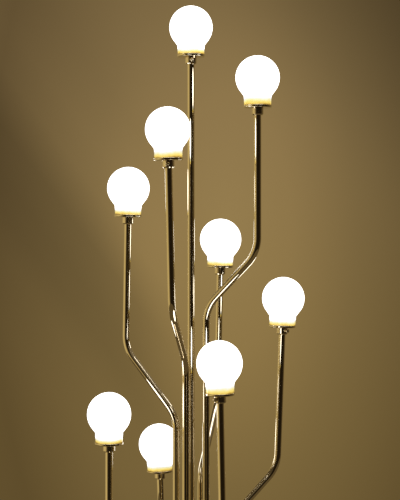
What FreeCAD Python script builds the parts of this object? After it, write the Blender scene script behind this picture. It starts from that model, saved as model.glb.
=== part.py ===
import FreeCAD, Part
import math
import os
from collections import namedtuple

# Tree floor lamp. Nine brass tubes stand in one turned hub on a weighted round base: one rises straight up
# the middle, and eight leave the bundle in an S-bend and rise again. Each tube ends in a collar with a small
# ball-ended rotary switch, a shallow gallery pan and an opal globe with a straight neck.
# Millimetres. +Z is up, the origin is the centre of the underside, and the lamp faces -Y.

Vector = FreeCAD.Vector
UP = Vector(0, 0, 1)
REARWARDS = Vector(0, 1, 0)
FULL_TURN = 360.0
HEX_SIDES = 6

# ---------------------------------------------------------------- the nine lamps
# height: globe centre above the floor.  root: bearing of the tube's foot in the hub, from +X.
# bend: bearing in which the S-bend carries the tube.  reach: how far it carries it.
# drop: globe centre down to the upper corner of the bend.  slope: the sloping run's angle from upright.
# lean: tilt of the upper run towards +X.  knob: bearing of the switch knob.
Lamp = namedtuple("Lamp", "height root bend reach drop slope lean knob")
LAMPS = {
    1: Lamp(1702.5, 0.0, 0.0, 0.0, 0.0, 0.0, 0.0, -84.0),
    2: Lamp(1585.0, -22.5, -25.1, 122.0, 376.0, 45.0, 0.0, 98.0),
    3: Lamp(1467.5, -108.0, -103.8, 118.0, 381.0, 45.0, -1.2, -96.0),
    4: Lamp(1351.0, 154.0, 158.0, 123.0, 360.0, 40.0, 0.85, 84.0),
    5: Lamp(1235.0, 52.5, 71.8, 122.0, 374.0, 40.0, 1.15, 75.0),
    6: Lamp(1103.5, 22.5, 17.0, 168.0, 379.0, 45.0, 2.0, -56.0),
    7: Lamp(983.5, -67.5, -71.3, 166.0, 371.0, 45.0, -1.1, -123.0),
    8: Lamp(858.5, 202.5, 193.0, 148.0, 371.0, 45.0, 0.1, 102.0),
    9: Lamp(754.0, 112.5, 107.8, 166.0, 371.0, 45.0, -1.75, 90.0),
}

# ---------------------------------------------------------------- arm tubes
TUBE_RADIUS = 8.0
TUBE_WALL = 1.2
BEND_RADIUS = 80.0
RING_RADIUS = 36.0

# ---------------------------------------------------------------- opal globe shade
GLOBE_RADIUS = 47.5
GLASS_WALL = 2.5
CONE_ANGLE = 37.0
NECK_TOP_RADIUS = 29.9
NECK_END_RADIUS = 29.0
NECK_LENGTH = 23.2

# ---------------------------------------------------------------- gallery pan, gasket and collar
GALLERY_WALL = 0.8
GALLERY_RIM_GAP = 0.9
GALLERY_HEIGHT = 5.2
GALLERY_EDGE = 1.6
GALLERY_BEAD = 0.5
GASKET_THICKNESS = 1.7
GASKET_WIDTH = 6.0
COLLAR_RADIUS = 12.8
COLLAR_HEIGHT = 16.0
COLLAR_CHAMFER = 2.2
COLLAR_TOP_EDGE = 0.6
COLLAR_SOCKET_DEPTH = 6.0
SEAT_GAP = 0.05

# ---------------------------------------------------------------- nipple, lamp holder and bulb
NIPPLE_RADIUS = 5.0
NIPPLE_BORE_RADIUS = 3.6
NIPPLE_IN_COLLAR = 4.5
NIPPLE_IN_HOLDER = 6.0
HOLDER_RADIUS = 13.5
HOLDER_HEIGHT = 36.0
HOLDER_FLOOR = 14.0
HOLDER_SKIRT_STEP = 1.5
BULB_RADIUS = 22.5
BULB_LENGTH = 72.0
BULB_CAP_RADIUS = 7.0
BULB_CAP_LENGTH = 23.0
BULB_CAP_GAP = 0.4
BULB_NECK_RADIUS = 10.5
BULB_CONTACT_RADIUS = 3.0
BULB_CONTACT_HEIGHT = 2.0
BULB_NECK_OVERLAP = 1.0

# ---------------------------------------------------------------- rotary switch knob
KNOB_BALL_RADIUS = 4.6
KNOB_REACH = 18.8
KNOB_STEM_RADIUS = 1.6
KNOB_RUNNING_GAP = 0.05
KNOB_BEARING_DEPTH = 8.5
KNOB_COLLAR_RADIUS = 2.6
KNOB_COLLAR_THICKNESS = 1.0
KNOB_SIDE_GAP = 0.4
KNOB_GRIP_FLATS = 2
KNOB_GRIP_DEPTH = 0.5

# ---------------------------------------------------------------- leads inside the tubes
LEAD_RADIUS = 2.2
LEAD_PASSAGE_RADIUS = 3.0

# ---------------------------------------------------------------- base
PAD_THICKNESS = 3.0
PAD_EDGE_SETBACK = 7.0
BASE_RADIUS = 175.0
BASE_HEIGHT = 26.2
COVER_WALL = 1.2
COVER_FLOOR_GAP = 1.5
COVER_EDGE_RADIUS = 7.0
COVER_EDGE_LEAST = 1.0
COVER_CROWN_FALL = 3.0
COVER_FLAT_RADIUS = 70.0
COVER_SIDE_GAP = 0.4
COVER_HOLE_RADIUS = 46.0
CHAMBER_RADIUS = 80.0
WEB_THICKNESS = 8.0
WEB_HOLE_RADIUS = 5.0
PLATE_LEDGE = 10.0
PLATE_THICKNESS = 1.5
PLATE_EDGE_GAP = 0.5
FIRST_HOLE_BEARING = 45.0
PLATE_SCREW_COUNT = 4
PLATE_SCREW_RADIUS = 2.0
PLATE_SCREW_LENGTH = 9.0
PLATE_SCREW_TIP_GAP = 1.0
PLATE_SCREW_HEAD_RADIUS = 3.6
PLATE_SCREW_HEAD_HEIGHT = 2.2
BOARD_RADIUS = 45.0
BOARD_THICKNESS = 6.0
BOARD_HOLE_RADIUS = 6.0

# ---------------------------------------------------------------- hub
HUB_RADIUS = 52.0
HUB_HEIGHT = 48.0
HUB_CHAMFER = 3.0
HUB_SPIGOT_GAP = 0.3
HUB_SOCKET_FLOOR = 8.0
HUB_GROOVE_RADIUS = 1.2
HUB_GROOVE_DROP = 9.0
SET_SCREW_RADIUS = 2.5
SET_SCREW_HEX = 2.5
SET_SCREW_HEX_DEPTH = 3.0
SET_SCREW_DROP = 24.0
CENTRE_SCREW_BEARING = 82.5
CENTRE_SCREW_DROP = 36.0
HUB_BOLT_COUNT = 4
HUB_BOLT_RING = 20.0
HUB_BOLT_RADIUS = 3.0
HUB_BOLT_GRIP = 12.0
HUB_BOLT_TIP_GAP = 1.0
HUB_BOLT_HEAD_RADIUS = 5.0
HUB_BOLT_HEAD_HEIGHT = 5.5
HUB_BOLT_HEX = 5.0
HUB_BOLT_HEX_DEPTH = 3.0

# ---------------------------------------------------------------- cord inlet in the rear of the base
INLET_HEIGHT = 10.0
INLET_BORE_RADIUS = 3.75
GLAND_BODY_RADIUS = 6.0
GLAND_BODY_LENGTH = 12.0
GLAND_FLANGE_RADIUS = 7.0
GLAND_FLANGE_THICKNESS = 3.0
GLAND_FLANGE_ROUND = 1.2
TUNNEL_RADIUS = 5.0
TUNNEL_INTO_CHAMBER = 8.0

# ---------------------------------------------------------------- heights worked out from the above
cone = math.radians(CONE_ANGLE)
CONE_START_RADIUS = GLOBE_RADIUS * math.cos(cone)
CONE_START_Z = -GLOBE_RADIUS * math.sin(cone)
NECK_TOP_Z = CONE_START_Z - (CONE_START_RADIUS - NECK_TOP_RADIUS) / math.tan(cone)
NECK_END_Z = NECK_TOP_Z - NECK_LENGTH
GALLERY_FLOOR_Z = NECK_END_Z - GASKET_THICKNESS
COLLAR_TOP_Z = GALLERY_FLOOR_Z - GALLERY_WALL
COLLAR_END_Z = COLLAR_TOP_Z - COLLAR_HEIGHT
TUBE_END_Z = COLLAR_END_Z + COLLAR_SOCKET_DEPTH
NIPPLE_END_Z = COLLAR_TOP_Z - NIPPLE_IN_COLLAR
NIPPLE_TOP_Z = GALLERY_FLOOR_Z + NIPPLE_IN_HOLDER
KNOB_Z = (TUBE_END_Z + NIPPLE_END_Z) / 2.0
HOLDER_TOP_Z = GALLERY_FLOOR_Z + HOLDER_HEIGHT
BULB_END_Z = GALLERY_FLOOR_Z + HOLDER_FLOOR
BULB_CENTRE_Z = BULB_END_Z + BULB_LENGTH - BULB_RADIUS
GALLERY_RADIUS = NECK_END_RADIUS + GALLERY_RIM_GAP + GALLERY_WALL

PLATE_RADIUS = CHAMBER_RADIUS + PLATE_LEDGE
PLATE_TOP_Z = PAD_THICKNESS + PLATE_THICKNESS
BALLAST_TOP_Z = BASE_HEIGHT - COVER_WALL
WEB_UNDERSIDE_Z = BALLAST_TOP_Z - WEB_THICKNESS
BOARD_TOP_Z = PLATE_TOP_Z + BOARD_THICKNESS
HUB_TOP_Z = BASE_HEIGHT + HUB_HEIGHT
TUBE_FOOT_Z = BASE_HEIGHT + HUB_SOCKET_FLOOR
HUB_SPIGOT_RADIUS = COVER_HOLE_RADIUS - HUB_SPIGOT_GAP


# ---------------------------------------------------------------- shape helpers
def cylinder(radius, low, high, x=0.0, y=0.0):
    """Upright cylinder from height low to height high."""
    return Part.makeCylinder(radius, high - low, Vector(x, y, low), UP)


def bar(radius, start, direction, length):
    """Cylinder of any direction."""
    return Part.makeCylinder(radius, length, start, direction)


def hexagon(across_flats, start, direction, length):
    """Hexagonal prism, across_flats wide, that starts at start and runs along direction."""
    corner = across_flats / math.sqrt(3.0)
    points = [bearing(FULL_TURN * side / HEX_SIDES) * corner for side in range(HEX_SIDES + 1)]
    prism = Part.Face(Part.makePolygon(points)).extrude(Vector(0, 0, length))
    prism.Placement = FreeCAD.Placement(start, FreeCAD.Rotation(UP, direction))
    return prism


def revolved(edges):
    """Solid of revolution about +Z from a closed chain of edges in the XZ plane."""
    face = Part.Face(Part.Wire(edges))
    return face.revolve(Vector(0, 0, 0), UP, FULL_TURN)


def turned(points):
    """Solid of revolution from (radius, height) points joined by straight lines."""
    corners = [Vector(radius, 0, height) for radius, height in points]
    return revolved([Part.LineSegment(a, b).toShape() for a, b in zip(corners, corners[1:] + corners[:1])])


def line(start, end):
    """Straight edge between two (radius, height) points of a profile."""
    return Part.LineSegment(Vector(start[0], 0, start[1]), Vector(end[0], 0, end[1])).toShape()


def arc(start, middle, end):
    """Circular edge through three (radius, height) points of a profile."""
    points = [Vector(radius, 0, height) for radius, height in (start, middle, end)]
    return Part.Arc(*points).toShape()


def bearing(degrees):
    """Horizontal unit vector at a bearing from +X."""
    angle = math.radians(degrees)
    return Vector(math.cos(angle), math.sin(angle), 0)


def circle_of(count):
    """Horizontal unit vectors spread evenly round the axis."""
    return [bearing(FIRST_HOLE_BEARING + FULL_TURN * i / count) for i in range(count)]


# ---------------------------------------------------------------- where each lamp stands
def foot(lamp):
    """Centre of the tube's foot, at floor level."""
    radius = RING_RADIUS if lamp.reach else 0.0
    return bearing(lamp.root) * radius


def head_axis(lamp):
    """Direction of the tube's upper run."""
    lean = math.radians(lamp.lean)
    return Vector(math.sin(lean), 0, math.cos(lean))


def globe_centre(lamp):
    """Centre of the lamp's globe."""
    above_corner = lamp.drop if lamp.reach else 0.0
    sideways = foot(lamp) + bearing(lamp.bend) * lamp.reach
    return sideways + Vector(above_corner * math.tan(math.radians(lamp.lean)), 0, lamp.height)


def head_placement(lamp):
    """Placement that carries a piece made round the globe's centre to its lamp."""
    return FreeCAD.Placement(globe_centre(lamp), FreeCAD.Rotation(UP, head_axis(lamp)))


def on_head(shape, lamp):
    """Copy of a head piece, set at its lamp."""
    placed = shape.copy()
    placed.Placement = head_placement(lamp).multiply(placed.Placement)
    return placed


def rounded_path(points, radius):
    """Wire of straight runs through the points, with a tangent arc of the radius at each inner point."""
    edges = []
    here = points[0]
    for before, corner, after in zip(points, points[1:], points[2:]):
        back = (before - corner).normalize()
        on = (after - corner).normalize()
        half_turn = (math.pi - back.getAngle(on)) / 2.0
        reach = radius * math.tan(half_turn)
        inward = (back + on).normalize()
        middle = corner + inward * (radius / math.cos(half_turn) - radius)
        start = corner + back * reach
        end = corner + on * reach
        edges.append(Part.LineSegment(here, start).toShape())
        edges.append(Part.Arc(start, middle, end).toShape())
        here = end
    edges.append(Part.LineSegment(here, points[-1]).toShape())
    return Part.Wire(edges)


def arm_path(lamp, bottom_z, top_z):
    """Centreline of the arm from height bottom_z to top_z, the latter counted from the globe's centre."""
    start = foot(lamp) + Vector(0, 0, bottom_z)
    end = globe_centre(lamp) + head_axis(lamp) * top_z
    if not lamp.reach:
        return Part.Wire([Part.LineSegment(start, end).toShape()])
    upper_z = lamp.height - lamp.drop
    lower_z = upper_z - lamp.reach / math.tan(math.radians(lamp.slope))
    lower = foot(lamp) + Vector(0, 0, lower_z)
    upper = foot(lamp) + bearing(lamp.bend) * lamp.reach + Vector(0, 0, upper_z)
    return rounded_path([start, lower, upper, end], BEND_RADIUS)


def swept(path, radius):
    """Round bar of the radius along a path that starts straight upwards."""
    start = path.OrderedVertexes[0].Point
    section = Part.Face(Part.Wire(Part.Circle(start, UP, radius).toShape()))
    return path.makePipe(section)


# ---------------------------------------------------------------- arm, shade, gallery and collar
def arm_tube(lamp):
    """S-bent tube from its socket in the hub to its socket in the collar."""
    path = arm_path(lamp, TUBE_FOOT_Z, TUBE_END_Z)
    return swept(path, TUBE_RADIUS).cut(swept(path, TUBE_RADIUS - TUBE_WALL))


def glass_shade():
    """Blown globe: sphere, tangent cone and a slightly tapered neck, open below, of even wall."""
    inner_radius = GLOBE_RADIUS - GLASS_WALL
    middle = math.radians((90.0 - CONE_ANGLE) / 2.0)

    def profile(radius, inset):
        side = (radius * math.cos(cone), -radius * math.sin(cone))
        across = (radius * math.cos(middle), radius * math.sin(middle))
        neck_top_radius = NECK_TOP_RADIUS - inset
        neck_top = (neck_top_radius, side[1] - (side[0] - neck_top_radius) / math.tan(cone))
        neck_end = (NECK_END_RADIUS - inset, NECK_END_Z)
        return [(0.0, radius), across, side, neck_top, neck_end]

    top, across, side, neck_top, neck_end = profile(GLOBE_RADIUS, 0.0)
    in_top, in_across, in_side, in_neck_top, in_neck_end = profile(inner_radius, GLASS_WALL)
    shell = revolved(
        [
            arc(top, across, side),
            line(side, neck_top),
            line(neck_top, neck_end),
            line(neck_end, in_neck_end),
            line(in_neck_end, in_neck_top),
            line(in_neck_top, in_side),
            arc(in_side, in_across, in_top),
            line(in_top, top),
        ]
    )
    return shell


def gallery():
    """Spun pan that the shade's neck stands in, with a rounded lower edge and a beaded rim."""
    outer = GALLERY_RADIUS
    inner = outer - GALLERY_WALL
    under = COLLAR_TOP_Z
    floor = GALLERY_FLOOR_Z
    rim = under + GALLERY_HEIGHT
    inner_edge = GALLERY_EDGE - GALLERY_WALL
    diagonal = math.sqrt(0.5)
    hole = NIPPLE_RADIUS + SEAT_GAP
    bead_out = outer + GALLERY_BEAD
    return revolved(
        [
            line((hole, under), (outer - GALLERY_EDGE, under)),
            arc(
                (outer - GALLERY_EDGE, under),
                (outer - GALLERY_EDGE * (1 - diagonal), under + GALLERY_EDGE * (1 - diagonal)),
                (outer, under + GALLERY_EDGE),
            ),
            line((outer, under + GALLERY_EDGE), (outer, rim - 2 * GALLERY_BEAD)),
            arc((outer, rim - 2 * GALLERY_BEAD), (bead_out, rim - GALLERY_BEAD), (outer, rim)),
            line((outer, rim), (inner, rim)),
            line((inner, rim), (inner, floor + inner_edge)),
            arc(
                (inner, floor + inner_edge),
                (inner - inner_edge * (1 - diagonal), floor + inner_edge * (1 - diagonal)),
                (inner - inner_edge, floor),
            ),
            line((inner - inner_edge, floor), (hole, floor)),
            line((hole, floor), (hole, under)),
        ]
    )


def shade_gasket():
    """Flat ring between the gallery's floor and the end of the glass neck."""
    outer = cylinder(NECK_END_RADIUS, GALLERY_FLOOR_Z, NECK_END_Z)
    return outer.cut(cylinder(NECK_END_RADIUS - GASKET_WIDTH, GALLERY_FLOOR_Z, NECK_END_Z))


def lamp_collar(knob_bearing):
    """Turned collar: tube socket below, nipple hole above, lead passage between and the switch's bearing."""
    inset = COLLAR_TOP_EDGE
    body = turned(
        [
            (0.0, COLLAR_END_Z),
            (COLLAR_RADIUS - COLLAR_CHAMFER, COLLAR_END_Z),
            (COLLAR_RADIUS, COLLAR_END_Z + COLLAR_CHAMFER),
            (COLLAR_RADIUS, COLLAR_TOP_Z - inset),
            (COLLAR_RADIUS - inset, COLLAR_TOP_Z),
            (0.0, COLLAR_TOP_Z),
        ]
    )
    body = body.cut(cylinder(TUBE_RADIUS + SEAT_GAP, COLLAR_END_Z, TUBE_END_Z))
    body = body.cut(cylinder(NIPPLE_RADIUS + SEAT_GAP, NIPPLE_END_Z, COLLAR_TOP_Z))
    body = body.cut(cylinder(LEAD_PASSAGE_RADIUS, TUBE_END_Z, NIPPLE_END_Z))
    out = bearing(knob_bearing)
    bearing_start = COLLAR_RADIUS - KNOB_BEARING_DEPTH
    hole = bar(
        KNOB_STEM_RADIUS + KNOB_RUNNING_GAP,
        out * bearing_start + Vector(0, 0, KNOB_Z),
        out,
        KNOB_BEARING_DEPTH,
    )
    return body.cut(hole)


def switch_knob(knob_bearing):
    """Ball-ended switch stem that turns about its own length in the collar's side."""
    stem_start = COLLAR_RADIUS - KNOB_BEARING_DEPTH + KNOB_SIDE_GAP
    shoulder = COLLAR_RADIUS + KNOB_SIDE_GAP
    along_x = Vector(1, 0, 0)
    knob = Part.makeSphere(KNOB_BALL_RADIUS, Vector(KNOB_REACH, 0, 0))
    grip = KNOB_BALL_RADIUS - KNOB_GRIP_DEPTH
    block = 2.0 * KNOB_BALL_RADIUS
    for side in range(KNOB_GRIP_FLATS):
        corner = Vector(KNOB_REACH - KNOB_BALL_RADIUS, -KNOB_BALL_RADIUS, grip)
        flat = Part.makeBox(block, block, block, corner)
        flat.rotate(Vector(0, 0, 0), along_x, FULL_TURN * side / KNOB_GRIP_FLATS)
        knob = knob.cut(flat)
    knob = knob.fuse(bar(KNOB_STEM_RADIUS, Vector(stem_start, 0, 0), along_x, KNOB_REACH - stem_start))
    knob = knob.fuse(bar(KNOB_COLLAR_RADIUS, Vector(shoulder, 0, 0), along_x, KNOB_COLLAR_THICKNESS))
    knob = knob.removeSplitter()
    knob.Placement = FreeCAD.Placement(Vector(0, 0, KNOB_Z), FreeCAD.Rotation(UP, knob_bearing))
    return knob


# ---------------------------------------------------------------- inside each head
def threaded_nipple():
    """Hollow threaded tube that ties the collar, the gallery and the holder together."""
    outer = cylinder(NIPPLE_RADIUS, NIPPLE_END_Z, NIPPLE_TOP_Z)
    return outer.cut(cylinder(NIPPLE_BORE_RADIUS, NIPPLE_END_Z, NIPPLE_TOP_Z))


def lamp_socket():
    """Bulb holder: a stepped sleeve with a blind hole for the cap and a hole below for the nipple."""
    skirt = HOLDER_RADIUS - HOLDER_SKIRT_STEP
    body = turned(
        [
            (0.0, GALLERY_FLOOR_Z),
            (HOLDER_RADIUS, GALLERY_FLOOR_Z),
            (HOLDER_RADIUS, BULB_END_Z),
            (skirt, BULB_END_Z + HOLDER_SKIRT_STEP),
            (skirt, HOLDER_TOP_Z),
            (0.0, HOLDER_TOP_Z),
        ]
    )
    body = body.cut(cylinder(BULB_CAP_RADIUS + BULB_CAP_GAP, BULB_END_Z, HOLDER_TOP_Z))
    return body.cut(cylinder(NIPPLE_RADIUS + SEAT_GAP, GALLERY_FLOOR_Z, NIPPLE_TOP_Z))


def light_bulb():
    """Round bulb: contact, screw cap, flared neck and ball."""
    cap_top = BULB_END_Z + BULB_CAP_LENGTH
    shoulder = BULB_END_Z + BULB_CONTACT_HEIGHT
    ball = Part.makeSphere(BULB_RADIUS, Vector(0, 0, BULB_CENTRE_Z))
    neck_into_ball = BULB_CENTRE_Z - math.sqrt(BULB_RADIUS**2 - BULB_NECK_RADIUS**2) + BULB_NECK_OVERLAP
    stem = turned(
        [
            (0.0, BULB_END_Z),
            (BULB_CONTACT_RADIUS, BULB_END_Z),
            (BULB_CAP_RADIUS, shoulder),
            (BULB_CAP_RADIUS, cap_top),
            (BULB_NECK_RADIUS, neck_into_ball),
            (0.0, neck_into_ball),
        ]
    )
    return ball.fuse(stem).removeSplitter()


def inner_lead(lamp):
    """Insulated lead from the terminal board up the tube to the underside of the bulb holder."""
    return swept(arm_path(lamp, BOARD_TOP_Z, NIPPLE_TOP_Z), LEAD_RADIUS)


# ---------------------------------------------------------------- base
def base_outline(inset, top_z, bottom_z):
    """Low crowned disc: flat middle, gentle fall, rounded edge and upright rim, drawn in by inset."""
    rim = BASE_RADIUS - inset
    edge = max(COVER_EDGE_RADIUS - inset, COVER_EDGE_LEAST)
    shoulder_z = top_z - COVER_CROWN_FALL
    diagonal = math.sqrt(0.5)
    return revolved(
        [
            line((0.0, bottom_z), (0.0, top_z)),
            line((0.0, top_z), (COVER_FLAT_RADIUS, top_z)),
            line((COVER_FLAT_RADIUS, top_z), (rim - edge, shoulder_z)),
            arc(
                (rim - edge, shoulder_z),
                (rim - edge * (1 - diagonal), shoulder_z - edge * (1 - diagonal)),
                (rim, shoulder_z - edge),
            ),
            line((rim, shoulder_z - edge), (rim, bottom_z)),
            line((rim, bottom_z), (0.0, bottom_z)),
        ]
    )


def inlet_start(inset):
    """Point on the inlet's axis, inset inwards from the rim."""
    return Vector(0, BASE_RADIUS - inset, INLET_HEIGHT)


def base_cover():
    """Spun brass shell over the ballast, with the hub's hole and the cord inlet's hole."""
    outer = base_outline(0.0, BASE_HEIGHT, COVER_FLOOR_GAP)
    inner = base_outline(COVER_WALL, BALLAST_TOP_Z, COVER_FLOOR_GAP)
    shell = outer.cut(inner)
    shell = shell.cut(cylinder(COVER_HOLE_RADIUS, BALLAST_TOP_Z, BASE_HEIGHT))
    past_wall = 2 * COVER_WALL
    return shell.cut(bar(GLAND_BODY_RADIUS + SEAT_GAP, inlet_start(past_wall), REARWARDS, 2 * past_wall))


def ballast_disc():
    """Cast weight under the cover: wiring chamber, plate recess, holes in the web and the cord's tunnel."""
    body = base_outline(COVER_WALL + COVER_SIDE_GAP, BALLAST_TOP_Z, PAD_THICKNESS)
    body = body.cut(cylinder(CHAMBER_RADIUS, PAD_THICKNESS, WEB_UNDERSIDE_Z))
    body = body.cut(cylinder(PLATE_RADIUS + PLATE_EDGE_GAP, PAD_THICKNESS, PLATE_TOP_Z))
    for lamp in LAMPS.values():
        at = foot(lamp)
        body = body.cut(cylinder(WEB_HOLE_RADIUS, WEB_UNDERSIDE_Z, BALLAST_TOP_Z, at.x, at.y))
    for way in circle_of(HUB_BOLT_COUNT):
        at = way * HUB_BOLT_RING
        body = body.cut(cylinder(HUB_BOLT_RADIUS + SEAT_GAP, WEB_UNDERSIDE_Z, BALLAST_TOP_Z, at.x, at.y))
    for way in circle_of(PLATE_SCREW_COUNT):
        at = way * plate_screw_ring()
        hole_end = PLATE_TOP_Z + PLATE_SCREW_LENGTH
        body = body.cut(cylinder(PLATE_SCREW_RADIUS + SEAT_GAP, PLATE_TOP_Z, hole_end, at.x, at.y))
    gland_reach = gland_inner_end() + SEAT_GAP
    inwards = -REARWARDS
    rim = inlet_start(0.0)
    body = body.cut(bar(GLAND_BODY_RADIUS + SEAT_GAP, rim, inwards, gland_reach))
    return body.cut(bar(TUNNEL_RADIUS, rim, inwards, BASE_RADIUS - CHAMBER_RADIUS + TUNNEL_INTO_CHAMBER))


def plate_screw_ring():
    """Radius of the ring of plate screws, midway across the plate's bearing ledge."""
    return (CHAMBER_RADIUS + PLATE_RADIUS) / 2.0


def gland_inner_end():
    """How far the gland's body reaches inwards from the rim."""
    return GLAND_BODY_LENGTH - SEAT_GAP


def cord_gland():
    """Flanged bush in the rear of the base, through which a cord passes."""
    body = bar(GLAND_BODY_RADIUS, inlet_start(gland_inner_end()), REARWARDS, GLAND_BODY_LENGTH)
    flange = bar(GLAND_FLANGE_RADIUS, inlet_start(-SEAT_GAP), REARWARDS, GLAND_FLANGE_THICKNESS)
    outer_edges = [e for e in flange.Edges if abs(e.CenterOfMass.y - flange.BoundBox.YMax) < SEAT_GAP / 2]
    flange = flange.makeFillet(GLAND_FLANGE_ROUND, outer_edges)
    whole = body.fuse(flange).removeSplitter()
    through = GLAND_BODY_LENGTH + GLAND_FLANGE_THICKNESS + SEAT_GAP
    return whole.cut(bar(INLET_BORE_RADIUS, inlet_start(gland_inner_end()), REARWARDS, through))


def floor_pad():
    """Felt disc glued under the base, set back from the edge, with a hole round each plate screw's head."""
    pad = cylinder(BASE_RADIUS - PAD_EDGE_SETBACK, 0.0, PAD_THICKNESS)
    for way in circle_of(PLATE_SCREW_COUNT):
        at = way * plate_screw_ring()
        pad = pad.cut(cylinder(PLATE_SCREW_HEAD_RADIUS + PLATE_EDGE_GAP, 0.0, PAD_THICKNESS, at.x, at.y))
    return pad


def bottom_plate():
    """Access plate over the wiring chamber."""
    plate = cylinder(PLATE_RADIUS, PAD_THICKNESS, PLATE_TOP_Z)
    for way in circle_of(PLATE_SCREW_COUNT):
        at = way * plate_screw_ring()
        plate = plate.cut(cylinder(PLATE_SCREW_RADIUS + SEAT_GAP, PAD_THICKNESS, PLATE_TOP_Z, at.x, at.y))
    return plate


def plate_screws():
    """Pan-head screws that hold the access plate."""
    screws = []
    for way in circle_of(PLATE_SCREW_COUNT):
        at = way * plate_screw_ring()
        tip = PLATE_TOP_Z + PLATE_SCREW_LENGTH - PLATE_SCREW_TIP_GAP
        shank = cylinder(PLATE_SCREW_RADIUS, PAD_THICKNESS, tip, at.x, at.y)
        head = cylinder(
            PLATE_SCREW_HEAD_RADIUS, PAD_THICKNESS - PLATE_SCREW_HEAD_HEIGHT, PAD_THICKNESS, at.x, at.y
        )
        screws.append(shank.fuse(head))
    return screws


def terminal_board():
    """Round terminal board on the access plate, where the nine leads and the cord are joined."""
    board = cylinder(BOARD_RADIUS, PLATE_TOP_Z, BOARD_TOP_Z)
    return board.cut(cylinder(BOARD_HOLE_RADIUS, PLATE_TOP_Z, BOARD_TOP_Z, 0.0, HUB_BOLT_RING))


def trunk_hub():
    """Turned hub that clamps the cover down and holds the nine tube feet in drilled sockets."""
    groove_z = HUB_TOP_Z - HUB_GROOVE_DROP
    g = HUB_GROOVE_RADIUS
    r = HUB_RADIUS
    hub = revolved(
        [
            line((0.0, BALLAST_TOP_Z), (HUB_SPIGOT_RADIUS, BALLAST_TOP_Z)),
            line((HUB_SPIGOT_RADIUS, BALLAST_TOP_Z), (HUB_SPIGOT_RADIUS, BASE_HEIGHT)),
            line((HUB_SPIGOT_RADIUS, BASE_HEIGHT), (r, BASE_HEIGHT)),
            line((r, BASE_HEIGHT), (r, groove_z - g)),
            arc((r, groove_z - g), (r - g, groove_z), (r, groove_z + g)),
            line((r, groove_z + g), (r, HUB_TOP_Z - HUB_CHAMFER)),
            line((r, HUB_TOP_Z - HUB_CHAMFER), (r - HUB_CHAMFER, HUB_TOP_Z)),
            line((r - HUB_CHAMFER, HUB_TOP_Z), (0.0, HUB_TOP_Z)),
            line((0.0, HUB_TOP_Z), (0.0, BALLAST_TOP_Z)),
        ]
    )
    for lamp in LAMPS.values():
        at = foot(lamp)
        hub = hub.cut(cylinder(TUBE_RADIUS + SEAT_GAP, TUBE_FOOT_Z, HUB_TOP_Z, at.x, at.y))
        hub = hub.cut(cylinder(WEB_HOLE_RADIUS, BALLAST_TOP_Z, TUBE_FOOT_Z, at.x, at.y))
    for way in circle_of(HUB_BOLT_COUNT):
        at = way * HUB_BOLT_RING
        top = BALLAST_TOP_Z + HUB_BOLT_GRIP + HUB_BOLT_TIP_GAP
        hub = hub.cut(cylinder(HUB_BOLT_RADIUS + SEAT_GAP, BALLAST_TOP_Z, top, at.x, at.y))
    for start, way, length in set_screw_runs():
        hub = hub.cut(bar(SET_SCREW_RADIUS + SEAT_GAP, start, way, length + HUB_CHAMFER))
    return hub


def set_screw_runs():
    """Inner end, direction and length of each set screw, one for each tube."""
    runs = []
    for lamp in LAMPS.values():
        centre = not lamp.reach
        way = bearing(CENTRE_SCREW_BEARING if centre else lamp.root)
        drop = CENTRE_SCREW_DROP if centre else SET_SCREW_DROP
        inner = foot(lamp).Length + TUBE_RADIUS
        outer = HUB_RADIUS
        runs.append((way * inner + Vector(0, 0, HUB_TOP_Z - drop), way, outer - inner - SEAT_GAP))
    return runs


def tube_set_screws():
    """Headless hexagon-socket screws that lock the tubes' feet in the hub."""
    screws = []
    for start, way, length in set_screw_runs():
        screw = bar(SET_SCREW_RADIUS, start, way, length)
        mouth = start + way * (length - SET_SCREW_HEX_DEPTH)
        screws.append(screw.cut(hexagon(SET_SCREW_HEX, mouth, way, SET_SCREW_HEX_DEPTH)))
    return screws


def hub_bolts():
    """Socket-head bolts that pull the hub down on the cover and the ballast."""
    bolts = []
    for way in circle_of(HUB_BOLT_COUNT):
        at = way * HUB_BOLT_RING
        head_z = WEB_UNDERSIDE_Z - HUB_BOLT_HEAD_HEIGHT
        shank = cylinder(HUB_BOLT_RADIUS, WEB_UNDERSIDE_Z, BALLAST_TOP_Z + HUB_BOLT_GRIP, at.x, at.y)
        head = cylinder(HUB_BOLT_HEAD_RADIUS, head_z, WEB_UNDERSIDE_Z, at.x, at.y)
        key = hexagon(HUB_BOLT_HEX, Vector(at.x, at.y, head_z), UP, HUB_BOLT_HEX_DEPTH)
        bolts.append(shank.fuse(head).cut(key))
    return bolts


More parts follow.
